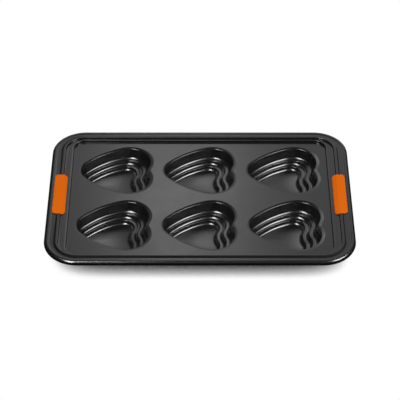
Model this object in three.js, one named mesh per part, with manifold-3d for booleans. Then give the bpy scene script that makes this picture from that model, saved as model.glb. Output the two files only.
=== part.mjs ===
// A six-cup heart cake pan: one pressed non-stick steel sheet with a wired rolled edge,
// and a silicone grip insert pushed into a slot at each end.
// Millimetres, +Z up, tray length along X. The origin lies under the middle of the tray,
// level with the underside of the cup floors.

import * as THREE from 'three';
import { mergeVertices } from 'three/addons/utils/BufferGeometryUtils.js';
import Module from 'manifold-3d';

// Sheet, wire and fits
const SHEET_THICKNESS = 0.9;
const WIRE_DIAMETER = 5;
const FIT_GAP = 0.3;
const ROLL_END_ANGLE = 325; // degrees, where the rolled edge stops short of the flange

// Heart cups: the mouth outline on the deck, tip towards -X
const CUP_COLUMNS = 3;
const CUP_ROWS = 2;
const CUP_LENGTH = 100.5;
const CUP_WIDTH = 100.6;
const CUP_GAP_X = 11.8;
const CUP_GAP_Y = 11.7;
const LOBE_RADIUS = 33;
const SIDE_RADIUS = 120;
const NOTCH_RADIUS = 7;
const TIP_FLOOR_RADIUS = 2; // at the cup floor; the mouth is rounder by the inset of the floor

// Cup section, from the deck down to the floor
const LIP_WIDTH = 2.85; // a gentle slope round the mouth
const LIP_SLOPE = 10; // degrees below the deck
const FIRST_TIER_DEPTH = 15.1;
const LOWER_TIERS = 2;
const LOWER_TIER_DEPTH = 5.2;
const LEDGE_WIDTH = 0.93;
const WALL_DRAFT = 10; // degrees from the vertical
const WALL_STRAIGHT = 0.5; // the least that a wall keeps between its bends
const EDGE_BEND = 0.3; // inside radius of the bend over each edge
const FOOT_FILLET = 4;
const TIP_LEAN = 0.35; // how far a tier moves towards the tip for each unit of its inset

// Border section from the rolled edge in to the deck: heights above the deck
const ROLL_RISE = 5.35;
const FLANGE_RISE = 4.9;
const RIB_RISE = 5.9;
const LEDGE_RISE = 3.2;
const STEP_WIDTH = 0.7; // run of the steep steps from the rib to the ledge and on to the deck

// Border widths on the short sides
const END_ROLL_TOP = 1.4;
const END_DIP = 1.2;
const END_FLANGE = 6.5;
const END_RIB_SLOPE = 1.8;
const END_RIB = 3.2;
const END_LEDGE = 9.9;
const END_MARGIN = 8.95;

// Border widths on the long sides
const SIDE_ROLL_TOP = 1.5;
const SIDE_DIP = 1.35;
const SIDE_FLANGE = 2.1;
const SIDE_RIB_SLOPE = 4.3;
const SIDE_RIB = 1;
const SIDE_LEDGE = 3.2;
const SIDE_MARGIN = 9.15;

// Plan corners
const TRAY_CORNER = 44.2;
const DECK_CORNER = 15;

// Grip inserts and the slots that hold them
const SLOT_LENGTH = 73.9;
const SLOT_WIDTH = 11.6;
const GRIP_LIP = 2.7; // overhang of the cap round the slot
const GRIP_BACK_LIP = 2;
const GRIP_BACK_THICKNESS = 1.3;
const GRIP_PROUD = 0.9; // cap above the rib and above the ledge
const GRIP_CORNER = 5;

// Mesh steps
const NOTCH_STEPS = 2;
const LOBE_STEPS = 7;
const SIDE_STEPS = 4;
const TIP_STEPS = 2;
const EDGE_STEPS = 1;
const FOOT_STEPS = 1;
const CORNER_STEPS = 6;
const ROLL_STEPS = 8;
const WIRE_SIDES = 10;
const GRIP_CORNER_STEPS = 4;
const WELD_DISTANCE = 1e-4; // corners nearer than this are one corner

const wasm = await Module();
wasm.setup();

const radians = THREE.MathUtils.degToRad;
const lerp = THREE.MathUtils.lerp;

// Spreads an arc's points from one angle to another, leaving out the last
function arcPoints(centreX, centreY, radius, from, to, steps) {
  const points = [];
  for (let i = 0; i < steps; i++) {
    const angle = lerp(from, to, i / steps);
    const outward = new THREE.Vector2(Math.cos(angle), Math.sin(angle));
    const position = outward.clone().multiplyScalar(radius).add(new THREE.Vector2(centreX, centreY));
    points.push({ position, outward });
  }
  return points;
}

// Adds a bend to the cup section, as points of inset, height and slope; a foot's radius is negative
function sectionBend(section, radius, slope, steps) {
  const start = section.at(-1);
  for (let i = 1; i <= steps; i++) {
    const angle = lerp(start.angle, slope, i / steps);
    section.push({
      inset: start.inset + radius * (Math.sin(angle) - Math.sin(start.angle)),
      height: start.height - radius * (Math.cos(start.angle) - Math.cos(angle)),
      angle,
    });
  }
}

// Adds one wall down to a height: the bend over its edge, a straight and its foot
function sectionWall(section, bottom) {
  const steep = Math.PI / 2 - radians(WALL_DRAFT);
  const curl = 1 - Math.cos(steep);
  sectionBend(section, SHEET_THICKNESS + EDGE_BEND, steep, EDGE_STEPS);
  const edge = section.at(-1);
  const foot = Math.min(FOOT_FILLET, (edge.height - bottom - WALL_STRAIGHT) / curl);
  const straight = edge.height - bottom - foot * curl;
  section.push({
    inset: edge.inset + straight / Math.tan(steep),
    height: edge.height - straight,
    angle: steep,
  });
  sectionBend(section, -foot, 0, FOOT_STEPS);
}

const lipSlope = radians(LIP_SLOPE);
const cupSection = [
  { inset: 0, height: 0, angle: 0 },
  { inset: LIP_WIDTH, height: -LIP_WIDTH * Math.tan(lipSlope), angle: lipSlope },
];
sectionWall(cupSection, -FIRST_TIER_DEPTH);
for (let tier = 0; tier < LOWER_TIERS; tier++) {
  const { inset, height } = cupSection.at(-1);
  cupSection.push({ inset: inset + LEDGE_WIDTH, height, angle: 0 });
  sectionWall(cupSection, height - LOWER_TIER_DEPTH);
}
const floorInset = cupSection.at(-1).inset;
const deckHeight = SHEET_THICKNESS - cupSection.at(-1).height;

// Heart outline at the mouth, counter-clockwise from the notch: notch, lobe, side and tip arcs
function heartOutline() {
  const tipRadius = floorInset + TIP_FLOOR_RADIUS;
  const lobe = new THREE.Vector2(CUP_LENGTH / 2 - LOBE_RADIUS, CUP_WIDTH / 2 - LOBE_RADIUS);
  const tip = new THREE.Vector2(tipRadius - CUP_LENGTH / 2, 0);
  const notchReach = Math.sqrt((LOBE_RADIUS + NOTCH_RADIUS) ** 2 - lobe.y ** 2);
  const notch = new THREE.Vector2(lobe.x + notchReach, 0);

  // The side arc touches the lobe and tip arcs from outside, so its centre is known from both
  const fromLobe = SIDE_RADIUS - LOBE_RADIUS;
  const fromTip = SIDE_RADIUS - tipRadius;
  const span = lobe.distanceTo(tip);
  const along = (fromTip ** 2 - fromLobe ** 2 + span ** 2) / (2 * span);
  const across = Math.sqrt(fromTip ** 2 - along ** 2);
  const axis = lobe.clone().sub(tip).divideScalar(span);
  const side = tip.clone().addScaledVector(axis, along);
  side.add(new THREE.Vector2(axis.y, -axis.x).multiplyScalar(across));

  const notchEnd = lobe.clone().sub(notch).angle();
  const lobeStart = notchEnd - Math.PI;
  const lobeEnd = lobe.clone().sub(side).angle();
  const sideEnd = tip.clone().sub(side).angle();
  const notchArc = arcPoints(notch.x, notch.y, NOTCH_RADIUS, Math.PI, notchEnd, NOTCH_STEPS);
  notchArc.forEach((point) => point.outward.negate());
  const half = [
    ...notchArc,
    ...arcPoints(lobe.x, lobe.y, LOBE_RADIUS, lobeStart, lobeEnd, LOBE_STEPS),
    ...arcPoints(side.x, side.y, SIDE_RADIUS, lobeEnd, sideEnd, SIDE_STEPS),
    ...arcPoints(tip.x, tip.y, tipRadius, sideEnd, Math.PI, TIP_STEPS),
  ];
  const mirrored = half.slice(1).reverse().map(({ position, outward }) => ({
    position: new THREE.Vector2(position.x, -position.y),
    outward: new THREE.Vector2(outward.x, -outward.y),
  }));
  const point = {
    position: new THREE.Vector2(-CUP_LENGTH / 2, 0),
    outward: new THREE.Vector2(-1, 0),
  };
  return [...half, point, ...mirrored];
}

const heart = heartOutline();

function heartRing(centreX, centreY, inset, height) {
  return heart.map(({ position, outward }) => new THREE.Vector3(
    centreX + position.x - outward.x * inset - TIP_LEAN * inset,
    centreY + position.y - outward.y * inset,
    deckHeight + height,
  ));
}

// Border widths and the tray's overall size that follows from them
const rollRadius = WIRE_DIAMETER / 2 + FIT_GAP + SHEET_THICKNESS;
const endWidths = [END_ROLL_TOP, END_DIP, END_FLANGE, END_RIB_SLOPE, END_RIB, STEP_WIDTH, END_LEDGE, STEP_WIDTH];
const sideWidths = [SIDE_ROLL_TOP, SIDE_DIP, SIDE_FLANGE, SIDE_RIB_SLOPE, SIDE_RIB, STEP_WIDTH, SIDE_LEDGE, STEP_WIDTH];
const rises = [ROLL_RISE, ROLL_RISE, FLANGE_RISE, FLANGE_RISE, RIB_RISE, RIB_RISE, LEDGE_RISE, LEDGE_RISE, 0];
const sum = (numbers) => numbers.reduce((total, number) => total + number, 0);
const endBorder = rollRadius + sum(endWidths);
const sideBorder = rollRadius + sum(sideWidths);
const cupsLength = CUP_COLUMNS * CUP_LENGTH + (CUP_COLUMNS - 1) * CUP_GAP_X;
const cupsDepth = CUP_ROWS * CUP_WIDTH + (CUP_ROWS - 1) * CUP_GAP_Y;
const halfLength = cupsLength / 2 + END_MARGIN + endBorder;
const halfDepth = cupsDepth / 2 + SIDE_MARGIN + sideBorder;

// Border stations from the deck out to the rolled edge, as insets from the tray's outer edge
function borderStations() {
  const topCorner = TRAY_CORNER - rollRadius;
  const stations = rises.map((height, i) => {
    const end = rollRadius + sum(endWidths.slice(0, i));
    const side = rollRadius + sum(sideWidths.slice(0, i));
    const share = (end - rollRadius) / (endBorder - rollRadius);
    return { end, side, height, corner: lerp(topCorner, DECK_CORNER, share) };
  });
  stations.reverse();
  for (let i = 1; i <= ROLL_STEPS; i++) {
    const angle = lerp(Math.PI / 2, radians(ROLL_END_ANGLE), i / ROLL_STEPS);
    const inset = rollRadius * (1 + Math.cos(angle));
    const height = ROLL_RISE - rollRadius * (1 - Math.sin(angle));
    stations.push({ end: inset, side: inset, height, corner: TRAY_CORNER - inset });
  }
  return stations;
}

// Rounded-rectangle ring, counter-clockwise, with the outward direction of each point
function trayRing({ end, side, corner, height }) {
  const reachX = halfLength - end - corner;
  const reachY = halfDepth - side - corner;
  const ring = [];
  [[1, 1], [-1, 1], [-1, -1], [1, -1]].forEach(([signX, signY], quarter) => {
    for (let i = 0; i <= CORNER_STEPS; i++) {
      const angle = (quarter + i / CORNER_STEPS) * (Math.PI / 2);
      const outward = new THREE.Vector3(Math.cos(angle), Math.sin(angle), 0);
      const position = outward.clone().multiplyScalar(corner);
      position.add(new THREE.Vector3(signX * reachX, signY * reachY, deckHeight + height));
      ring.push({ position, outward });
    }
  });
  return ring;
}

const borderRings = borderStations().map(trayRing);

// Moves a section line of points out from the deck to one side, by the same distance all along
function offsetSection(section, distance) {
  const normals = [new THREE.Vector2(0, 1)];
  for (let i = 1; i < section.length; i++) {
    const run = section[i].clone().sub(section[i - 1]);
    normals.push(new THREE.Vector2(-run.y, run.x).normalize());
  }
  return section.map((point, i) => {
    const before = normals[i];
    const after = normals[i + 1] ?? before;
    const mitre = before.clone().add(after).divideScalar(1 + before.dot(after));
    return point.clone().addScaledVector(mitre, distance);
  });
}

// The sheet's inner face, a thickness away from the rings of its outer face
function innerRings(rings) {
  const inner = rings.map(() => []);
  rings[0].forEach(({ outward }, i) => {
    const section = rings.map((ring) => new THREE.Vector2(ring[i].position.dot(outward), ring[i].position.z));
    offsetSection(section, -SHEET_THICKNESS).forEach((moved, k) => {
      const point = rings[k][i].position.clone().addScaledVector(outward, moved.x - section[k].x);
      inner[k].push(point.setZ(moved.y));
    });
  });
  return inner;
}

const borderTop = borderRings.map((ring) => ring.map(({ position }) => position));
const borderUnder = innerRings(borderRings);

// Triangle soup with shared corners
class Skin {
  positions = [];

  triangle(a, b, c) {
    [a, b, c].forEach(({ x, y, z }) => this.positions.push(x, y, z));
  }

  // Bands from ring to ring: facing up where the rings go outwards, and down where they go inwards
  bands(rings) {
    for (let k = 0; k + 1 < rings.length; k++) {
      const inner = rings[k];
      const outer = rings[k + 1];
      inner.forEach((point, i) => {
        const next = (i + 1) % inner.length;
        this.triangle(point, outer[i], outer[next]);
        this.triangle(point, outer[next], inner[next]);
      });
    }
  }

  // Flat area inside a ring, around holes
  flat(ring, holes, facingUp) {
    const points = [ring, ...holes].flat();
    const plan = (loop) => loop.map(({ x, y }) => new THREE.Vector2(x, y));
    THREE.ShapeUtils.triangulateShape(plan(ring), holes.map(plan)).forEach((corners) => {
      const [a, b, c] = corners.map((i) => points[i]);
      const turn = (b.x - a.x) * (c.y - a.y) - (b.y - a.y) * (c.x - a.x);
      if ((turn > 0) === facingUp) {
        this.triangle(a, b, c);
      } else {
        this.triangle(a, c, b);
      }
    });
  }

  geometry() {
    const geometry = new THREE.BufferGeometry();
    geometry.setAttribute('position', new THREE.Float32BufferAttribute(this.positions, 3));
    return mergeVertices(geometry, WELD_DISTANCE);
  }
}

// Solids for joining and cutting
function solidOf(geometry) {
  const bare = geometry.clone();
  bare.deleteAttribute('normal');
  bare.deleteAttribute('uv');
  const merged = mergeVertices(bare, WELD_DISTANCE);
  return new wasm.Manifold(new wasm.Mesh({
    numProp: 3,
    vertProperties: new Float32Array(merged.attributes.position.array),
    triVerts: new Uint32Array(merged.index.array),
  }));
}

function geometryOf(solid) {
  const mesh = solid.getMesh();
  const geometry = new THREE.BufferGeometry();
  geometry.setAttribute('position', new THREE.BufferAttribute(mesh.vertProperties, 3));
  geometry.setIndex(new THREE.BufferAttribute(mesh.triVerts, 1));
  geometry.computeVertexNormals();
  return geometry;
}

// The slot keeps the lip behind the insert clear of the rolled edge
const slotInset = 2 * rollRadius + FIT_GAP + GRIP_BACK_LIP;

// Upright prism on the slot's outline, grown or shrunk all round, and taller than the insert
function gripPrism(grow) {
  const width = SLOT_WIDTH + 2 * grow;
  const length = SLOT_LENGTH + 2 * grow;
  const corner = GRIP_CORNER - GRIP_LIP + grow;
  const right = halfLength - slotInset + grow;
  const left = right - width;
  const outline = new THREE.Shape();
  outline.absarc(right - corner, length / 2 - corner, corner, 0, Math.PI / 2);
  outline.absarc(left + corner, length / 2 - corner, corner, Math.PI / 2, Math.PI);
  outline.absarc(left + corner, corner - length / 2, corner, Math.PI, 1.5 * Math.PI);
  outline.absarc(right - corner, corner - length / 2, corner, 1.5 * Math.PI, 2 * Math.PI);
  const height = 2 * (deckHeight + RIB_RISE + GRIP_PROUD);
  return solidOf(new THREE.ExtrudeGeometry(outline, {
    depth: height,
    bevelEnabled: false,
    curveSegments: GRIP_CORNER_STEPS,
  }));
}

// Slab along Y, longer than the insert, between two lines of the border's end section
function sectionSlab(upper, lower) {
  const outline = new THREE.Shape([...upper, ...lower.toReversed()]);
  const depth = 2 * SLOT_LENGTH;
  const slab = new THREE.ExtrudeGeometry(outline, { depth, bevelEnabled: false });
  slab.rotateX(Math.PI / 2);
  slab.translate(0, depth / 2, 0);
  return solidOf(slab);
}

// Pan: deck, cups and border of one sheet
function panSolid() {
  const skin = new Skin();
  const mouthsTop = [];
  const mouthsUnder = [];
  for (let column = 0; column < CUP_COLUMNS; column++) {
    for (let row = 0; row < CUP_ROWS; row++) {
      const x = (column - (CUP_COLUMNS - 1) / 2) * (CUP_LENGTH + CUP_GAP_X);
      const y = (row - (CUP_ROWS - 1) / 2) * (CUP_WIDTH + CUP_GAP_Y);
      const top = cupSection.map(({ inset, height }) => heartRing(x, y, inset, height));
      const under = cupSection.map(({ inset, height, angle }) => heartRing(
        x,
        y,
        inset - SHEET_THICKNESS * Math.sin(angle),
        height - SHEET_THICKNESS * Math.cos(angle),
      ));
      skin.bands(top.toReversed());
      skin.bands(under);
      skin.flat(top.at(-1), [], true);
      skin.flat(under.at(-1), [], false);
      mouthsTop.push(top[0]);
      mouthsUnder.push(under[0]);
    }
  }
  skin.flat(borderTop[0], mouthsTop, true);
  skin.flat(borderUnder[0], mouthsUnder, false);
  skin.bands([...borderTop, ...borderUnder.toReversed()]);
  const slot = gripPrism(0);
  const turned = slot.rotate([0, 0, 180]);
  return solidOf(skin.geometry()).subtract(slot).subtract(turned);
}

// Wire inside the rolled edge
function wireGeometry() {
  const skin = new Skin();
  const rings = [];
  for (let i = 0; i <= WIRE_SIDES; i++) {
    const angle = (2 * Math.PI * i) / WIRE_SIDES;
    const inset = rollRadius + (WIRE_DIAMETER / 2) * Math.cos(angle);
    const height = ROLL_RISE - rollRadius + (WIRE_DIAMETER / 2) * Math.sin(angle);
    const corner = TRAY_CORNER - inset;
    rings.push(trayRing({ end: inset, side: inset, corner, height }).map(({ position }) => position));
  }
  skin.bands(rings);
  return skin.geometry();
}

// Grip insert of the +X end: a cap on the sheet, a neck through the slot and a lip behind
function gripSolid() {
  const sheet = borderTop.slice(0, -ROLL_STEPS).map(([{ x, z }]) => new THREE.Vector2(x, z));
  const capRise = deckHeight + RIB_RISE + GRIP_PROUD;
  const capFall = deckHeight + LEDGE_RISE + GRIP_PROUD;
  const capTop = [
    new THREE.Vector2(sheet[0].x, capFall),
    new THREE.Vector2(halfLength - slotInset - SLOT_WIDTH - GRIP_LIP, capFall),
    new THREE.Vector2(halfLength - endBorder + 2 * STEP_WIDTH + END_LEDGE, capRise),
    new THREE.Vector2(sheet.at(-1).x, capRise),
  ];
  const cap = gripPrism(GRIP_LIP).intersect(sectionSlab(capTop, offsetSection(sheet, FIT_GAP)));
  const backDrop = SHEET_THICKNESS + FIT_GAP;
  const backUnder = offsetSection(sheet, -backDrop - GRIP_BACK_THICKNESS);
  const back = gripPrism(GRIP_BACK_LIP).intersect(sectionSlab(offsetSection(sheet, -backDrop), backUnder));
  const neck = gripPrism(-FIT_GAP).intersect(sectionSlab(offsetSection(sheet, 2 * FIT_GAP), backUnder));
  return cap.add(neck).add(back);
}

// Assembly
const coatedSteel = new THREE.MeshStandardMaterial({ color: '#2c2d2f', roughness: 0.38, metalness: 0.4 });
const bareWire = new THREE.MeshStandardMaterial({ color: '#8d9092', roughness: 0.4, metalness: 1 });
const orangeSilicone = new THREE.MeshStandardMaterial({ color: '#df6a08', roughness: 0.55, metalness: 0 });

function piece(name, geometry, material) {
  const mesh = new THREE.Mesh(geometry, material);
  mesh.name = name;
  return mesh;
}

const pan = new THREE.Group();
const gripGeometry = geometryOf(gripSolid());
const leftEnd = new THREE.Group();
leftEnd.rotation.z = Math.PI;
leftEnd.add(piece('left_grip_insert', gripGeometry, orangeSilicone));
pan.add(
  piece('pan_sheet', geometryOf(panSolid()), coatedSteel),
  piece('rim_wire', wireGeometry(), bareWire),
  piece('right_grip_insert', gripGeometry, orangeSilicone),
  leftEnd,
);

export default pan;
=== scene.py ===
import math

import bmesh
import bpy
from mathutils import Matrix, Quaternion, Vector
from mathutils.geometry import tessellate_polygon


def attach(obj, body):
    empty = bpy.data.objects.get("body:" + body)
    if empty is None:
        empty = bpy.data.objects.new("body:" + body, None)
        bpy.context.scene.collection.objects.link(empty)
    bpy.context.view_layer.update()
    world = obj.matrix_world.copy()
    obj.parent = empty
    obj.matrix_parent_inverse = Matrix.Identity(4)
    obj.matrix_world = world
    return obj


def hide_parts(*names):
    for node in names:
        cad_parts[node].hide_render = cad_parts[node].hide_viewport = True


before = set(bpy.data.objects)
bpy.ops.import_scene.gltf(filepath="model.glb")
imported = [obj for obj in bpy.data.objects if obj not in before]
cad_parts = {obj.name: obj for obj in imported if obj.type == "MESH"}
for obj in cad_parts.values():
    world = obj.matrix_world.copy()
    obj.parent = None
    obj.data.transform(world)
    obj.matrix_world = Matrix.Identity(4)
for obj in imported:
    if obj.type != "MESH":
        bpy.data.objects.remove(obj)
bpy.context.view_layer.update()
mm = 0.001
print("frame loaded:", ", ".join(sorted(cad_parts)))


# ring helpers: a ring is a list of (x, y, z) in millimetres, counter-clockwise from above

def addBands(shell, rings, flip=False):
    first, count = len(shell["points"]), len(rings[0])
    for ring in rings:
        shell["points"].extend(ring)
    for k in range(len(rings) - 1):
        for i in range(count):
            a = first + k * count + i
            b = first + k * count + (i + 1) % count
            quad = (a, b, b + count, a + count)
            shell["faces"].append(quad[::-1] if flip else quad)


def addFlat(shell, outer, holes, flip=False):
    loops = [outer] + holes
    first = len(shell["points"])
    flat = [p for loop in loops for p in loop]
    shell["points"].extend(flat)
    for a, b, c in tessellate_polygon([[Vector(p) for p in loop] for loop in loops]):
        pa, pb, pc = flat[a], flat[b], flat[c]
        turn = (pb[0] - pa[0]) * (pc[1] - pa[1]) - (pb[1] - pa[1]) * (pc[0] - pa[0])
        facingUp = turn > 0
        corners = (a, b, c) if facingUp != flip else (a, c, b)
        shell["faces"].append(tuple(first + corner for corner in corners))


def makeObject(name, shell):
    mesh = bpy.data.meshes.new(name)
    mesh.from_pydata([[c * mm for c in p] for p in shell["points"]], [], shell["faces"])
    obj = bpy.data.objects.new(name, mesh)
    bpy.context.scene.collection.objects.link(obj)
    return obj


def weld(obj, distance):
    work = bmesh.new()
    work.from_mesh(obj.data)
    bmesh.ops.remove_doubles(work, verts=work.verts, dist=distance * mm)
    bmesh.ops.dissolve_degenerate(work, edges=work.edges, dist=distance * mm)
    work.to_mesh(obj.data)
    work.free()


# heart cups: mouth outline on the deck, tip to the left, and the tiers below it
heart = {
    "columns": 3, "rows": 2, "length": 100.5, "width": 100.6, "gapX": 11.8, "gapY": 11.7,
    "lobeRadius": 33, "sideRadius": 120, "notchRadius": 7, "tipFloorRadius": 2,
    "lipWidth": 3.68, "lipSlope": 10, "lipEase": 2, "firstDepth": 15.1, "lowerTiers": 2, "lowerDepth": 5.2,
    "draft": 10, "mouthEdge": 0.8, "tierEdge": 0.5, "underEdge": 1.2, "footFillet": 4, "ledge": 1.94,
    "tipLean": 0.35, "support": 0.4,
    "notchSteps": 6, "lobeSteps": 24, "sideSteps": 14, "tipSteps": 8,
    "fineSteps": (2, 4, 9), "underSteps": (1, 2, 4),  # along the lip's curve, each edge and each foot
}

# border of the sheet: heights above the deck, widths at the ends and along the sides
border = {
    "thickness": 0.9, "wire": 5, "gap": 0.3, "rollEnd": 325,
    "rises": [5.35, 5.35, 4.9, 4.9, 5.75, 5.75, 3.2, 3.2, 0],
    "ribAt": 5,  # place of the rib's inner edge in the lists
    "endWidths": [1.4, 1.2, 6.5, 1.8, 3.2, 0.7, 9.9, 0.7], "endMargin": 8.95,
    "sideWidths": [1.5, 1.35, 2.1, 4.3, 1, 0.7, 3.2, 0.7], "sideMargin": 9.15,
    "trayCorner": 44.2, "deckCorner": 15, "bend": 0.5, "underBend": 1.1, "foot": 0.4, "easeBlend": 0.2,
    "cornerSteps": 24, "easeSteps": 8, "levelSteps": 3, "bendSteps": 6, "rollSteps": 26,
    "wireSides": 16, "weld": 0.01, "sharpAngle": 35,
}


def addArc(section, radius, slope, steps):
    # an arc from the section's last slope to a new one; each point is inset, height, slope
    inset, height, first = section[-1]
    turn = radius if slope > first else -radius
    for i in range(1, steps + 1):
        a = first + (slope - first) * i / steps
        run, fall = math.sin(a) - math.sin(first), math.cos(first) - math.cos(a)
        section.append((inset + turn * run, height - turn * fall, a))


def addWall(section, bottom, edge, edgeSteps, footSteps):
    # a rounded edge, a leaning wall and a rounded foot that ends level at the bottom height
    steep = math.radians(90 - heart["draft"])
    addArc(section, edge, steep, edgeSteps)
    inset, height, _ = section[-1]
    straight = height - bottom - heart["footFillet"] * (1 - math.cos(steep))
    section.append((inset + straight / math.tan(steep), height - straight, steep))
    addArc(section, heart["footFillet"], 0, footSteps)


def cupSection(mouthEdge, tierEdge, easeSteps, edgeSteps, footSteps):
    section = [(-heart["support"], 0, 0), (0, 0, 0)]
    slope, steep = math.radians(heart["lipSlope"]), math.radians(90 - heart["draft"])
    # widths go to the sharp edge; a rounded edge starts sooner, so that every wall stays in its place
    lip = heart["lipWidth"] - mouthEdge * math.tan((steep - slope) / 2) * math.cos(slope)
    ledge = heart["ledge"] - tierEdge * math.tan(steep / 2)
    addArc(section, heart["lipEase"], slope, easeSteps)
    inset, height, _ = section[-1]
    section.append((lip, height - (lip - inset) * math.tan(slope), slope))
    bottom = -heart["firstDepth"]
    addWall(section, bottom, mouthEdge, edgeSteps, footSteps)
    for _ in range(heart["lowerTiers"]):
        section.append((section[-1][0] + ledge, bottom, 0))
        bottom -= heart["lowerDepth"]
        addWall(section, bottom, tierEdge, edgeSteps, footSteps)
    return section


fineSection = cupSection(heart["mouthEdge"], heart["tierEdge"], *heart["fineSteps"])
underSection = cupSection(heart["underEdge"], heart["underEdge"], *heart["underSteps"])
floorInset, floorDrop, _ = underSection[-1]
deckHeight = border["thickness"] - floorDrop


def arc(centre, radius, start, end, steps, side=1):
    # points on an arc, each with the direction out of the heart: x, y, nx, ny
    made = []
    for i in range(steps):
        a = start + (end - start) * i / steps
        x, y = math.cos(a), math.sin(a)
        made.append((centre[0] + radius * x, centre[1] + radius * y, side * x, side * y))
    return made


def heartOutline():
    lobeRadius, sideRadius, notchRadius = heart["lobeRadius"], heart["sideRadius"], heart["notchRadius"]
    tipRadius = floorInset + heart["tipFloorRadius"]
    lobe = Vector((heart["length"] / 2 - lobeRadius, heart["width"] / 2 - lobeRadius))
    tip = Vector((tipRadius - heart["length"] / 2, 0))
    notch = Vector((lobe.x + math.sqrt((lobeRadius + notchRadius) ** 2 - lobe.y ** 2), 0))
    fromLobe, fromTip = sideRadius - lobeRadius, sideRadius - tipRadius
    span = (lobe - tip).length
    along = (fromTip ** 2 - fromLobe ** 2 + span ** 2) / (2 * span)
    across = math.sqrt(fromTip ** 2 - along ** 2)
    axis = (lobe - tip) / span
    side = tip + axis * along + Vector((axis.y, -axis.x)) * across
    angle = lambda a, b: math.atan2(b.y - a.y, b.x - a.x)
    notchEnd = angle(notch, lobe)
    half = (
        arc(notch, notchRadius, math.pi, notchEnd, heart["notchSteps"], -1)
        + arc(lobe, lobeRadius, notchEnd - math.pi, angle(side, lobe), heart["lobeSteps"])
        + arc(side, sideRadius, angle(side, lobe), angle(side, tip), heart["sideSteps"])
        + arc(tip, tipRadius, angle(side, tip), math.pi, heart["tipSteps"])
    )
    mirrored = [(x, -y, nx, -ny) for x, y, nx, ny in reversed(half[1:])]
    return half + [(-heart["length"] / 2, 0, -1, 0)] + mirrored


outline = heartOutline()


def heartRing(inset, height, centre=(0, 0)):
    lean = heart["tipLean"] * max(inset, 0)
    return [
        (centre[0] + x - nx * inset - lean, centre[1] + y - ny * inset, deckHeight + height)
        for x, y, nx, ny in outline
    ]


def underOf(point):
    inset, height, a = point
    return inset - border["thickness"] * math.sin(a), height - border["thickness"] * math.cos(a)


def makeCup():
    shell = {"points": [], "faces": []}
    rings = [heartRing(inset, height) for inset, height, _ in fineSection]
    addBands(shell, rings)
    addFlat(shell, rings[-1], [])
    under = [heartRing(*underOf(p)) for p in underSection]
    addBands(shell, under, flip=True)
    addFlat(shell, under[-1], [], flip=True)
    return makeObject("cupShape", shell)


rollRadius = border["wire"] / 2 + border["gap"] + border["thickness"]
pitch = (heart["length"] + heart["gapX"], heart["width"] + heart["gapY"])
# from the middle of the tray to the far edges of the outer cups
cupsX = pitch[0] * (heart["columns"] - 1) / 2 + heart["length"] / 2
cupsY = pitch[1] * (heart["rows"] - 1) / 2 + heart["width"] / 2
halfLength = cupsX + border["endMargin"] + rollRadius + sum(border["endWidths"])
halfDepth = cupsY + border["sideMargin"] + rollRadius + sum(border["sideWidths"])


def ease(share):
    # straight for the most part, with a short curve at either end
    blend = border["easeBlend"]
    if share > 0.5:
        return 1 - ease(1 - share)
    return share ** 2 / (2 * blend * (1 - blend)) if share < blend else (share - blend / 2) / (1 - blend)


def stepLean(i, bend):
    # slope of a steep step, and how far its rounded edge and foot reach into the parts beside it
    if not 0 <= i < len(border["endWidths"]):
        return 0, 0, 0
    drop, width = border["rises"][i] - border["rises"][i + 1], border["endWidths"][i]
    lean = math.atan2(drop, width) if drop > width else 0
    return lean, bend * math.tan(lean / 2), border["foot"] * math.tan(lean / 2)


def curl(radius, lean, reach):
    # a rounded edge of a steep step, as runs and falls
    turns = [lean * k / border["bendSteps"] for k in range(border["bendSteps"] + 1)]
    return [(radius * math.sin(a) - reach, radius * (1 - math.cos(a))) for a in turns]


def makeBorderLine(bend):
    # the section from the roll's top in to the deck, each point an inset at the ends,
    # an inset along the sides and a height above the deck
    line, end, side = [], rollRadius, rollRadius
    for i, (endWidth, sideWidth) in enumerate(zip(border["endWidths"], border["sideWidths"])):
        high, low = border["rises"][i:i + 2]
        lean, edgeReach, footReach = stepLean(i, bend)
        if lean:
            for run, fall in curl(bend, lean, edgeReach):
                line.append((end + run, side + run, high - fall))
            for run, fall in reversed(curl(border["foot"], lean, footReach)):
                line.append((end + endWidth - run, side + sideWidth - run, low + fall))
        else:
            before, after = stepLean(i - 1, bend)[2], stepLean(i + 1, bend)[1]
            steps = border["levelSteps"] if high == low else border["easeSteps"]
            for k in range(1 if before else 0, steps):
                share = k / steps
                line.append((
                    end + before + share * (endWidth - before - after),
                    side + before + share * (sideWidth - before - after),
                    high + (low - high) * ease(share),
                ))
        end, side = end + endWidth, side + sideWidth
    deckStart = heart["support"] + stepLean(len(border["endWidths"]) - 1, bend)[2]
    line.append((end + deckStart, side + deckStart, 0))
    return line


borderLine = makeBorderLine(border["bend"])


def endHeight(inset):
    # height of the sheet above the deck at an inset from the tray's short end
    for (near, _, high), (far, _, low) in zip(borderLine, borderLine[1:]):
        if inset <= far:
            return high + (low - high) * max(inset - near, 0) / (far - near)
    return 0


def borderStations(line):
    # from the deck out and round the roll: the line's values and the corner radius of the ring there
    topCorner = border["trayCorner"] - rollRadius
    spread = sum(border["endWidths"])
    stations = []
    for end, side, height in reversed(line):
        corner = topCorner + (border["deckCorner"] - topCorner) * (end - rollRadius) / spread
        stations.append((end, side, height, corner))
    for i in range(1, border["rollSteps"] + 1):
        a = math.radians(90 + (border["rollEnd"] - 90) * i / border["rollSteps"])
        inset = rollRadius * (1 + math.cos(a))
        height = border["rises"][0] - rollRadius * (1 - math.sin(a))
        stations.append((inset, inset, height, border["trayCorner"] - inset))
    return stations


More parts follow.
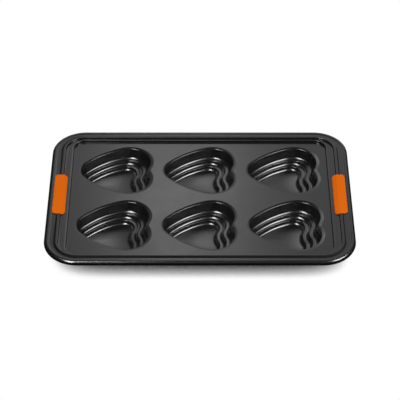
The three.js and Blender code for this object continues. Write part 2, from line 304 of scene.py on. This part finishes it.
def trayRing(end, side, height, corner, steps):
    reachX, reachY = halfLength - end - corner, halfDepth - side - corner
    ring = []
    for quarter, (signX, signY) in enumerate(((1, 1), (-1, 1), (-1, -1), (1, -1))):
        for i in range(steps + 1):
            a = (quarter + i / steps) * math.pi / 2
            out = Vector((math.cos(a), math.sin(a), 0))
            ring.append((Vector((signX * reachX, signY * reachY, deckHeight + height)) + out * corner, out))
    return ring


def underRings(rings):
    # each point moved by the sheet's thickness along the section's normal
    made = []
    for k, ring in enumerate(rings):
        before, after = rings[max(k - 1, 0)], rings[min(k + 1, len(rings) - 1)]
        moved = []
        for i, (point, out) in enumerate(ring):
            run = after[i][0] - before[i][0]
            normal = Vector((0, 0, run.dot(out))) - out * run.z
            moved.append(tuple(point - normal.normalized() * border["thickness"]))
        made.append(moved)
    return made


def makeBorder():
    shell = {"points": [], "faces": []}
    ringsOf = lambda line: [trayRing(*station, border["cornerSteps"]) for station in borderStations(line)]
    top = [[tuple(point) for point, out in ring] for ring in ringsOf(borderLine)]
    # rounder edges below, so that the inside of each bend stays open
    under = underRings(ringsOf(makeBorderLine(border["underBend"])))
    addBands(shell, top + under[::-1], flip=True)
    centres = [
        ((c - (heart["columns"] - 1) / 2) * pitch[0], (r - (heart["rows"] - 1) / 2) * pitch[1])
        for c in range(heart["columns"]) for r in range(heart["rows"])
    ]
    mouth = -heart["support"]
    addFlat(shell, top[0], [heartRing(mouth, 0, c) for c in centres])
    addFlat(shell, under[0], [heartRing(mouth, -border["thickness"], c) for c in centres], flip=True)
    return makeObject("pan", shell)


# silicone grip: cap on the sheet, neck through the slot, lip behind
grip = {
    "slotLength": 73.9, "slotWidth": 11.6, "lip": 2.7, "backLip": 2, "backThickness": 1.3,
    "proud": 0.9, "corner": 5, "edgeWidth": 1.5, "edgeDrop": 0.6, "ridge": 2,
    "cornerSteps": 8, "shortSteps": 40, "edgeSteps": 6, "topSteps": 10, "offsetSteps": 12,
    "leastCorner": 0.02, "slit": 0.03, "weld": 0.004, "sharpAngle": 50, "cutLow": -8, "cutHigh": 12,
}
slotInset = 2 * rollRadius + border["gap"] + grip["backLip"]


def gripRing(grow, heightAt):
    # rounded rectangle round the slot of the right end; the short sides follow the border's section
    corner = max(grip["corner"] - grip["lip"] + grow, grip["leastCorner"])
    right = halfLength - slotInset + grow
    left = right - grip["slotWidth"] - 2 * grow
    far = grip["slotLength"] / 2 + grow
    innerX, outerX, turnY = left + corner, right - corner, far - corner
    centres = ((outerX, turnY), (innerX, turnY), (innerX, -turnY), (outerX, -turnY))
    spots = []
    for quarter, (x, y) in enumerate(centres):
        for i in range(grip["cornerSteps"] + 1):
            a = (quarter + i / grip["cornerSteps"]) * math.pi / 2
            spots.append((x + corner * math.cos(a), y + corner * math.sin(a)))
        if quarter in (0, 2):
            start, stop, edge = (outerX, innerX, far) if quarter == 0 else (innerX, outerX, -far)
            steps = grip["shortSteps"]
            spots.extend((start + (stop - start) * i / steps, edge) for i in range(1, steps))
    return [(x, y, deckHeight + heightAt(halfLength - x)) for x, y in spots]


def offsetHeight(inset, distance):
    # height of a line at a distance from the sheet's upper face, below it where that is negative
    reach = abs(distance)
    spots = [k / grip["offsetSteps"] for k in range(-grip["offsetSteps"], grip["offsetSteps"] + 1)]
    heights = [endHeight(inset + reach * s) + distance * math.sqrt(1 - s * s) for s in spots]
    return max(heights) if distance > 0 else min(heights)


def gripHeights():
    ribAt = border["ribAt"]
    ribRise, ledgeRise = border["rises"][ribAt:ribAt + 2]
    ribInset = rollRadius + sum(border["endWidths"][:ribAt])
    capInset = slotInset + grip["slotWidth"] + grip["lip"]
    slope = (ribRise - ledgeRise) / (capInset - ribInset)
    ridge = grip["ridge"]

    def capTop(inset):
        # level out to the rolled edge, sloping down to the ledge, with a soft ridge between
        past = inset - ribInset
        fall = slope * max(past, 0) if abs(past) > ridge else slope * (past + ridge) ** 2 / (4 * ridge)
        return ribRise + grip["proud"] - fall

    backDrop = border["thickness"] + border["gap"]
    seat = lambda inset: offsetHeight(inset, border["gap"])
    backTop = lambda inset: offsetHeight(inset, -backDrop)
    backUnder = lambda inset: offsetHeight(inset, -backDrop - grip["backThickness"])
    return capTop, seat, backTop, backUnder


def makeGrip(name, turn):
    capTop, seat, backTop, backUnder = gripHeights()
    shell = {"points": [], "faces": []}
    middle = grip["slit"] - grip["slotWidth"] / 2  # shrinks a ring to a narrow slit
    backInner = grip["backLip"] - grip["edgeDrop"] / 2
    steps = grip["topSteps"]
    rings = [gripRing(middle + (backInner - middle) * i / steps, backUnder) for i in range(steps + 1)]
    rings.append(gripRing(grip["backLip"], lambda inset: backUnder(inset) + grip["edgeDrop"] / 2))
    rings.append(gripRing(grip["backLip"], backTop))
    rings.append(gripRing(-border["gap"], backTop))
    rings.append(gripRing(-border["gap"], seat))
    rings.append(gripRing(grip["lip"], seat))
    for i in range(grip["edgeSteps"] + 1):
        a = math.pi / 2 * i / grip["edgeSteps"]
        drop = grip["edgeDrop"] * (1 - math.sin(a))
        grow = grip["lip"] - grip["edgeWidth"] * (1 - math.cos(a))
        rings.append(gripRing(grow, lambda inset: capTop(inset) - drop))
    capInner = grip["lip"] - grip["edgeWidth"]
    for i in range(1, steps + 1):
        rings.append(gripRing(capInner + (middle - capInner) * i / steps, capTop))
    addBands(shell, rings)
    last = len(rings[0])
    shell["faces"].append(tuple(range(last))[::-1])
    shell["faces"].append(tuple(range(len(shell["points"]) - last, len(shell["points"]))))
    if turn:
        shell["points"] = [(-x, -y, z) for x, y, z in shell["points"]]
    obj = makeObject(name, shell)
    weld(obj, grip["weld"])
    return obj


def makeSlots():
    # two upright prisms that cut the slots out of the sheet
    shell = {"points": [], "faces": []}
    slot = gripRing(0, lambda inset: 0)
    for turn in (1, -1):
        rings = [
            [(turn * x, turn * y, deckHeight + height) for x, y, _ in slot]
            for height in (grip["cutLow"], grip["cutHigh"])
        ]
        addBands(shell, rings)
        addFlat(shell, rings[0], [], flip=True)
        addFlat(shell, rings[1], [])
    cutter = makeObject("slotShape", shell)
    weld(cutter, grip["weld"])
    return cutter


# node helpers

def newTree(name, sockets):
    tree = bpy.data.node_groups.new(name, "GeometryNodeTree")
    addInput = lambda label, kind: tree.interface.new_socket(label, in_out="INPUT", socket_type=kind)
    addInput("Geometry", "NodeSocketGeometry")
    keys = {label: addInput(label, kind).identifier for label, kind in sockets}
    tree.interface.new_socket("Geometry", in_out="OUTPUT", socket_type="NodeSocketGeometry")
    return tree, keys, tree.nodes.new("NodeGroupInput"), tree.nodes.new("NodeGroupOutput")


def bakeNodes(obj, tree, keys, values, name):
    modifier = obj.modifiers.new(tree.name, "NODES")
    modifier.node_group = tree
    for label, value in values.items():
        modifier[keys[label]] = value
    shown = obj.evaluated_get(bpy.context.evaluated_depsgraph_get())
    mesh = bpy.data.meshes.new_from_object(shown)
    mesh.name = name
    made = bpy.data.objects.new(name, mesh)
    bpy.context.scene.collection.objects.link(made)
    obj.modifiers.remove(modifier)
    bpy.data.objects.remove(obj)
    return made


def heartGridTree():
    # the cup on every point of a grid, joined to the border, slots cut, sharp cut edges
    tree, keys, start, end = newTree("heartGrid", [
        ("Columns", "NodeSocketInt"), ("Rows", "NodeSocketInt"),
        ("Pitch X", "NodeSocketFloat"), ("Pitch Y", "NodeSocketFloat"),
        ("Cup", "NodeSocketObject"), ("Slots", "NodeSocketObject"),
        ("Weld", "NodeSocketFloat"), ("Sharp Angle", "NodeSocketFloat"),
        ("Coat", "NodeSocketMaterial"),
    ])
    node, link = tree.nodes.new, tree.links.new

    def gapCount(label):
        less = node("ShaderNodeMath")
        less.operation = "SUBTRACT"
        less.inputs[1].default_value = 1
        link(start.outputs[label], less.inputs[0])
        return less.outputs[0]

    def span(count, pitchLabel):
        times = node("ShaderNodeMath")
        times.operation = "MULTIPLY"
        link(gapCount(count), times.inputs[0])
        link(start.outputs[pitchLabel], times.inputs[1])
        return times.outputs[0]

    grid = node("GeometryNodeMeshGrid")
    link(span("Columns", "Pitch X"), grid.inputs["Size X"])
    link(span("Rows", "Pitch Y"), grid.inputs["Size Y"])
    link(start.outputs["Columns"], grid.inputs["Vertices X"])
    link(start.outputs["Rows"], grid.inputs["Vertices Y"])
    cup = node("GeometryNodeObjectInfo")
    link(start.outputs["Cup"], cup.inputs["Object"])
    place = node("GeometryNodeInstanceOnPoints")
    link(grid.outputs["Mesh"], place.inputs["Points"])
    link(cup.outputs["Geometry"], place.inputs["Instance"])
    real = node("GeometryNodeRealizeInstances")
    link(place.outputs["Instances"], real.inputs["Geometry"])
    join = node("GeometryNodeJoinGeometry")
    link(real.outputs["Geometry"], join.inputs["Geometry"])
    link(start.outputs["Geometry"], join.inputs["Geometry"])
    merge = node("GeometryNodeMergeByDistance")
    link(join.outputs["Geometry"], merge.inputs["Geometry"])
    link(start.outputs["Weld"], merge.inputs["Distance"])
    slots = node("GeometryNodeObjectInfo")
    link(start.outputs["Slots"], slots.inputs["Object"])
    cut = node("GeometryNodeMeshBoolean")
    cut.operation = "DIFFERENCE"
    cut.solver = "EXACT"
    link(merge.outputs["Geometry"], cut.inputs["Mesh 1"])
    link(slots.outputs["Geometry"], cut.inputs["Mesh 2"])
    smooth = node("GeometryNodeSetShadeSmooth")
    link(cut.outputs["Mesh"], smooth.inputs["Geometry"])
    fold = node("GeometryNodeInputMeshEdgeAngle")
    steep = node("FunctionNodeCompare")
    link(fold.outputs["Unsigned Angle"], steep.inputs[0])
    link(start.outputs["Sharp Angle"], steep.inputs[1])
    sharp = node("GeometryNodeSetShadeSmooth")
    sharp.domain = "EDGE"
    sharp.inputs["Shade Smooth"].default_value = False
    link(smooth.outputs["Geometry"], sharp.inputs["Geometry"])
    link(steep.outputs["Result"], sharp.inputs["Selection"])
    whole = node("GeometryNodeRealizeInstances")
    link(sharp.outputs["Geometry"], whole.inputs["Geometry"])
    paint = node("GeometryNodeSetMaterial")
    link(whole.outputs["Geometry"], paint.inputs["Geometry"])
    link(start.outputs["Coat"], paint.inputs["Material"])
    link(paint.outputs["Geometry"], end.inputs["Geometry"])
    return tree, keys


def rimWireTree():
    # a round wire swept along the rim's path
    tree, keys, start, end = newTree("rimWire", [
        ("Radius", "NodeSocketFloat"), ("Sides", "NodeSocketInt"), ("Metal", "NodeSocketMaterial"),
    ])
    node, link = tree.nodes.new, tree.links.new
    path = node("GeometryNodeMeshToCurve")
    link(start.outputs["Geometry"], path.inputs["Mesh"])
    ring = node("GeometryNodeCurvePrimitiveCircle")
    link(start.outputs["Sides"], ring.inputs["Resolution"])
    link(start.outputs["Radius"], ring.inputs["Radius"])
    sweep = node("GeometryNodeCurveToMesh")
    link(path.outputs["Curve"], sweep.inputs["Curve"])
    link(ring.outputs["Curve"], sweep.inputs["Profile Curve"])
    smooth = node("GeometryNodeSetShadeSmooth")
    link(sweep.outputs["Mesh"], smooth.inputs["Geometry"])
    whole = node("GeometryNodeRealizeInstances")
    link(smooth.outputs["Geometry"], whole.inputs["Geometry"])
    paint = node("GeometryNodeSetMaterial")
    link(whole.outputs["Geometry"], paint.inputs["Geometry"])
    link(start.outputs["Metal"], paint.inputs["Material"])
    link(paint.outputs["Geometry"], end.inputs["Geometry"])
    return tree, keys


# shared shader groups

def newShaderGroup(name, inputs, outputs):
    group = bpy.data.node_groups.new(name, "ShaderNodeTree")
    for way, sockets in (("INPUT", inputs), ("OUTPUT", outputs)):
        for label, kind in sockets:
            group.interface.new_socket(label, in_out=way, socket_type=kind)
    return group, group.nodes.new("NodeGroupInput"), group.nodes.new("NodeGroupOutput")


grainShape = {"detail": 3, "roughness": 0.55, "fleckSize": 0.35}
filmShape = {"detail": 4, "roughness": 0.6, "cloudLow": 0.3, "cloudHigh": 0.7}


def makeGrainGroup():
    # fine sprayed or moulded grain: a speckle value and a height for bump
    group, start, end = newShaderGroup(
        "surfaceGrain",
        [("Vector", "NodeSocketVector"), ("Scale", "NodeSocketFloat"), ("Speckle Scale", "NodeSocketFloat")],
        [("Speckle", "NodeSocketFloat"), ("Height", "NodeSocketFloat")],
    )
    node, link = group.nodes.new, group.links.new
    peel = node("ShaderNodeTexNoise")
    peel.inputs["Detail"].default_value = grainShape["detail"]
    peel.inputs["Roughness"].default_value = grainShape["roughness"]
    link(start.outputs["Vector"], peel.inputs["Vector"])
    link(start.outputs["Scale"], peel.inputs["Scale"])
    dots = node("ShaderNodeTexVoronoi")
    link(start.outputs["Vector"], dots.inputs["Vector"])
    link(start.outputs["Speckle Scale"], dots.inputs["Scale"])
    fleck = node("ShaderNodeMapRange")
    fleck.inputs["From Min"].default_value = 0.0
    fleck.inputs["From Max"].default_value = grainShape["fleckSize"]
    fleck.inputs["To Min"].default_value = 1.0
    fleck.inputs["To Max"].default_value = 0.0
    link(dots.outputs["Distance"], fleck.inputs["Value"])
    link(fleck.outputs["Result"], end.inputs["Speckle"])
    link(peel.outputs["Fac"], end.inputs["Height"])
    return group


def makeFilmGroup():
    # broad faint unevenness, as handling film or an uneven spray
    group, start, end = newShaderGroup(
        "handlingFilm",
        [
            ("Vector", "NodeSocketVector"), ("Scale", "NodeSocketFloat"),
            ("Low", "NodeSocketFloat"), ("High", "NodeSocketFloat"),
        ],
        [("Value", "NodeSocketFloat")],
    )
    node, link = group.nodes.new, group.links.new
    cloud = node("ShaderNodeTexNoise")
    cloud.inputs["Detail"].default_value = filmShape["detail"]
    cloud.inputs["Roughness"].default_value = filmShape["roughness"]
    link(start.outputs["Vector"], cloud.inputs["Vector"])
    link(start.outputs["Scale"], cloud.inputs["Scale"])
    span = node("ShaderNodeMapRange")
    span.inputs["From Min"].default_value = filmShape["cloudLow"]
    span.inputs["From Max"].default_value = filmShape["cloudHigh"]
    link(cloud.outputs["Fac"], span.inputs["Value"])
    link(start.outputs["Low"], span.inputs["To Min"])
    link(start.outputs["High"], span.inputs["To Max"])
    link(span.outputs["Result"], end.inputs["Value"])
    return group


grainGroup = makeGrainGroup()
filmGroup = makeFilmGroup()


def newMaterial(name):
    material = bpy.data.materials.new(name)
    material.use_nodes = True
    tree = material.node_tree
    return material, tree, tree.nodes["Principled BSDF"], tree.nodes.new("ShaderNodeTexCoord")


def addGroup(tree, group, coords, values):
    placed = tree.nodes.new("ShaderNodeGroup")
    placed.node_tree = group
    tree.links.new(coords.outputs["Object"], placed.inputs["Vector"])
    for label, value in values.items():
        placed.inputs[label].default_value = value
    return placed


def addFinish(tree, shader, coords, look):
    # grain and film in the finish's own sizes; the film drives the roughness
    grain = addGroup(tree, grainGroup, coords, {"Scale": look["grainScale"]})
    film = addGroup(tree, filmGroup, coords, {
        "Scale": look["filmScale"], "Low": look["roughLow"], "High": look["roughHigh"],
    })
    tree.links.new(film.outputs["Value"], shader.inputs["Roughness"])
    return grain


def mixColours(tree, factor, first, second):
    mix = tree.nodes.new("ShaderNodeMix")
    mix.data_type = "RGBA"
    tree.links.new(factor, mix.inputs["Factor"])
    mix.inputs["A"].default_value = (*first, 1)
    mix.inputs["B"].default_value = (*second, 1)
    return mix.outputs["Result"]


def addSag(tree, coords, place):
    # tilts the normal over the cup floors, as if each were a shallow bowl
    node, link = tree.nodes.new, tree.links.new

    def step(operation, first, second):
        made = node("ShaderNodeVectorMath")
        made.operation = operation
        link(first, made.inputs[0])
        if isinstance(second, tuple):
            made.inputs[1].default_value = second
        elif second:
            link(second, made.inputs["Scale"] if operation == "SCALE" else made.inputs[1])
        return made

    wrap = step("WRAP", coords.outputs["Object"], (place["pitchX"] / 2, place["pitchY"], 1))
    wrap.inputs[2].default_value = (-place["pitchX"] / 2, 0, -1)
    away = step("SUBTRACT", wrap.outputs[0], (place["centreX"], place["pitchY"] / 2, 0))
    tilt = step("MULTIPLY", away.outputs[0], (-1 / place["radius"], -1 / place["radius"], 0))
    height = node("ShaderNodeSeparateXYZ")
    surface = node("ShaderNodeNewGeometry")
    onFloor = node("ShaderNodeMath")
    onFloor.operation = "COMPARE"
    onFloor.inputs[1].default_value = place["level"]
    onFloor.inputs[2].default_value = place["spread"]
    link(coords.outputs["Object"], height.inputs[0])
    link(height.outputs["Z"], onFloor.inputs[0])
    masked = step("SCALE", tilt.outputs[0], onFloor.outputs[0])
    leaning = step("ADD", masked.outputs[0], surface.outputs["Normal"])
    return step("NORMALIZE", leaning.outputs[0], None).outputs[0]


def addBump(tree, shader, height, strength, distance, normal=None):
    bump = tree.nodes.new("ShaderNodeBump")
    if normal:
        tree.links.new(normal, bump.inputs["Normal"])
    bump.inputs["Strength"].default_value = strength
    bump.inputs["Distance"].default_value = distance * mm
    tree.links.new(height, bump.inputs["Height"])
    tree.links.new(bump.outputs["Normal"], shader.inputs["Normal"])


coat = {
    "dark": (0.003, 0.0031, 0.0032), "fleck": (0.006, 0.0061, 0.0063), "specular": 1.0,
    "roughLow": 0.2, "roughHigh": 0.25, "bump": 0.05, "bumpDepth": 0.2,
    "grainScale": 700.0, "speckleScale": 1500.0, "filmScale": 16.0,
}

# bowl of the cup floors, in metres; the level is the floors' upper face
sag = {
    "pitchX": pitch[0] * mm, "pitchY": pitch[1] * mm, "centreX": 3 * mm, "radius": 290 * mm,
    "level": border["thickness"] * mm, "spread": 0.1 * mm,
}


def makeCoat():
    material, tree, shader, coords = newMaterial("nonstickCoat")
    grain = addFinish(tree, shader, coords, coat)
    grain.inputs["Speckle Scale"].default_value = coat["speckleScale"]
    colour = mixColours(tree, grain.outputs["Speckle"], coat["dark"], coat["fleck"])
    tree.links.new(colour, shader.inputs["Base Color"])
    shader.inputs["Specular IOR Level"].default_value = coat["specular"]
    addBump(tree, shader, grain.outputs["Height"], coat["bump"], coat["bumpDepth"], addSag(tree, coords, sag))
    return material


silicone = {
    "deep": (0.43, 0.075, 0.0003), "pale": (0.48, 0.092, 0.0006), "specular": 0.08,
    "roughLow": 0.44, "roughHigh": 0.52, "bump": 0.08, "bumpDepth": 0.15,
    "grainScale": 1200.0, "filmScale": 40.0,
}


def makeSilicone():
    material, tree, shader, coords = newMaterial("orangeSilicone")
    grain = addFinish(tree, shader, coords, silicone)
    colour = mixColours(tree, grain.outputs["Height"], silicone["deep"], silicone["pale"])
    tree.links.new(colour, shader.inputs["Base Color"])
    shader.inputs["Specular IOR Level"].default_value = silicone["specular"]
    addBump(tree, shader, grain.outputs["Height"], silicone["bump"], silicone["bumpDepth"])
    return material


wireMetal = {
    "dark": (0.42, 0.43, 0.44), "light": (0.56, 0.57, 0.58),
    "roughLow": 0.3, "roughHigh": 0.42, "bump": 0.1, "bumpDepth": 0.1,
    "grainScale": 900.0, "filmScale": 60.0,
}


def makeWireMetal():
    material, tree, shader, coords = newMaterial("drawnWire")
    shader.inputs["Metallic"].default_value = 1.0
    grain = addFinish(tree, shader, coords, wireMetal)
    colour = mixColours(tree, grain.outputs["Height"], wireMetal["dark"], wireMetal["light"])
    tree.links.new(colour, shader.inputs["Base Color"])
    addBump(tree, shader, grain.outputs["Height"], wireMetal["bump"], wireMetal["bumpDepth"])
    return material


coatMaterial, siliconeMaterial, wireMaterial = makeCoat(), makeSilicone(), makeWireMetal()
print("materials made")

# the pan: border and deck, with the cup set on a grid
cupObject, slotObject = makeCup(), makeSlots()
tree, keys = heartGridTree()
panPiece = bakeNodes(makeBorder(), tree, keys, {
    "Columns": heart["columns"], "Rows": heart["rows"], "Pitch X": pitch[0] * mm, "Pitch Y": pitch[1] * mm,
    "Cup": cupObject, "Slots": slotObject, "Coat": coatMaterial,
    "Weld": border["weld"] * mm, "Sharp Angle": math.radians(border["sharpAngle"]),
}, "coatedPan")
bpy.data.objects.remove(cupObject)
bpy.data.objects.remove(slotObject)
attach(panPiece, "root")
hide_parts("pan_sheet")
print("pan made:", len(panPiece.data.polygons), "faces")

# the wire in the rolled rim
wireHeight, wireCorner = border["rises"][0] - rollRadius, border["trayCorner"] - rollRadius
wirePath = trayRing(rollRadius, rollRadius, wireHeight, wireCorner, border["cornerSteps"])
pathEdges = [(i, (i + 1) % len(wirePath)) for i in range(len(wirePath))]
pathMesh = bpy.data.meshes.new("wirePath")
pathMesh.from_pydata([tuple(p * mm) for p, out in wirePath], pathEdges, [])
pathObject = bpy.data.objects.new("wirePath", pathMesh)
bpy.context.scene.collection.objects.link(pathObject)
tree, keys = rimWireTree()
wirePiece = bakeNodes(pathObject, tree, keys, {
    "Radius": border["wire"] / 2 * mm, "Sides": border["wireSides"], "Metal": wireMaterial,
}, "rimWire")
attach(wirePiece, "root")
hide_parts("rim_wire")
print("wire made:", len(wirePiece.data.polygons), "faces")

# the two grips
for name, node, turn in (("rightGrip", "right_grip_insert", False), ("leftGrip", "left_grip_insert", True)):
    piece = makeGrip(name, turn)
    piece.data.materials.append(siliconeMaterial)
    piece.data.shade_smooth()
    piece.data.set_sharp_from_angle(angle=math.radians(grip["sharpAngle"]))
    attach(piece, "root")
    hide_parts(node)
    print("grip made:", name, len(piece.data.polygons), "faces")

# floor and light in metres, camera in millimetres
studio = {
    "floorSize": 6.0, "shadeReach": 0.15, "shadeLow": 0.13, "shadeHigh": 0.42, "shadeSamples": 16,
    "aroundWhite": 1.0, "aroundDim": 0.02,
    "target": (0.165, -5.94, 26.4), "elevation": 40.41, "distance": 2297.4, "lens": 156.3, "sensor": 36,
}
softboxes = {
    # name: place, aimed at, roll in degrees, width, depth, watts
    "rightStrip": ((1.28, -0.5, 1.43), (1.28, -0.5, 0), 25, 0.75, 1.5, 46),
    "leftStrip": ((-0.72, -0.95, 1.4), (-0.72, -0.95, 0), -17, 0.5, 1.7, 40),
    "backWall": ((0.45, 1.85, 1.05), (0.45, 0, 0), 0, 1.75, 1.5, 4.05),
    "leftWing": ((-0.72, 1.8, 1.05), (-0.3, 0, 0), 0, 0.55, 1.5, 0.5),
    "backPanel": ((-0.05, 1.58, 1.4), (0, 0, 0), 0, 0.32, 0.42, 0.56),
    "underFill": ((0, 1.9, -1.0), (0, 0, 0), 0, 1.0, 0.9, 5),  # low behind the tray, to show its underside
}


def makeFloor():
    # pale paper that glows evenly, with a painted shadow: ambient occlusion dims the glow only where the tray
    # stands close above it
    size = studio["floorSize"]
    mesh = bpy.data.meshes.new("paleFloor")
    corners = [(-size, -size, 0), (size, -size, 0), (size, size, 0), (-size, size, 0)]
    mesh.from_pydata(corners, [], [(0, 1, 2, 3)])
    floor = bpy.data.objects.new("paleFloor", mesh)
    bpy.context.scene.collection.objects.link(floor)
    material = bpy.data.materials.new("palePaper")
    material.use_nodes = True
    tree = material.node_tree
    tree.nodes.clear()
    node, link = tree.nodes.new, tree.links.new
    # painted shadow: the occlusion below sets how far the paper's glow dims near the tray
    clearance = node("ShaderNodeAmbientOcclusion")
    clearance.samples = studio["shadeSamples"]
    clearance.inputs["Distance"].default_value = studio["shadeReach"]
    shade = node("ShaderNodeMapRange")
    shade.inputs["From Min"].default_value = studio["shadeLow"]
    shade.inputs["From Max"].default_value = studio["shadeHigh"]
    shade.inputs["To Max"].default_value = studio["aroundWhite"]
    glow = node("ShaderNodeEmission")
    clear = node("ShaderNodeBsdfTransparent")
    side = node("ShaderNodeNewGeometry")
    pick = node("ShaderNodeMixShader")
    out = node("ShaderNodeOutputMaterial")
    link(clearance.outputs["AO"], shade.inputs["Value"])
    link(shade.outputs["Result"], glow.inputs["Strength"])
    link(side.outputs["Backfacing"], pick.inputs["Fac"])  # clear from below, to show the underside
    link(glow.outputs[0], pick.inputs[1])
    link(clear.outputs[0], pick.inputs[2])
    link(pick.outputs[0], out.inputs["Surface"])
    mesh.materials.append(material)
    floor.visible_glossy = floor.visible_diffuse = floor.visible_shadow = False  # the paper lights nothing


def addSoftbox(name, place, aim, roll, width, depth, watts):
    light = bpy.data.lights.new(name, "AREA")
    light.shape, light.size, light.size_y, light.energy = "RECTANGLE", width, depth, watts
    obj = bpy.data.objects.new(name, light)
    obj.location = place
    turn = (Vector(aim) - Vector(place)).to_track_quat("-Z", "Y") @ Quaternion((0, 0, 1), math.radians(roll))
    obj.rotation_euler = turn.to_euler()
    bpy.context.scene.collection.objects.link(obj)


def makeRoom():
    world = bpy.data.worlds.new("studioRoom")
    world.use_nodes = True
    tree = world.node_tree
    back = tree.nodes["Background"]
    rays = tree.nodes.new("ShaderNodeLightPath")
    mix = tree.nodes.new("ShaderNodeMix")
    mix.data_type = "RGBA"
    grey = lambda level: (level, level, level, 1)
    mix.inputs["A"].default_value = grey(studio["aroundDim"])
    mix.inputs["B"].default_value = grey(studio["aroundWhite"])
    tree.links.new(rays.outputs["Is Camera Ray"], mix.inputs["Factor"])
    tree.links.new(mix.outputs["Result"], back.inputs["Color"])
    bpy.context.scene.world = world


def makeCamera():
    data = bpy.data.cameras.new("photoCamera")
    data.lens, data.sensor_width = studio["lens"], studio["sensor"]
    camera = bpy.data.objects.new("photoCamera", data)
    rise = math.radians(studio["elevation"])
    back = Vector((0, -math.cos(rise), math.sin(rise))) * studio["distance"]
    camera.location = (Vector(studio["target"]) + back) * mm
    camera.rotation_euler = (math.pi / 2 - rise, 0, 0)
    bpy.context.scene.collection.objects.link(camera)
    bpy.context.scene.camera = camera


makeFloor()
for name, sizes in softboxes.items():
    addSoftbox(name, *sizes)
makeRoom()
makeCamera()
bpy.context.scene.view_settings.view_transform = "Standard"
print("studio made")
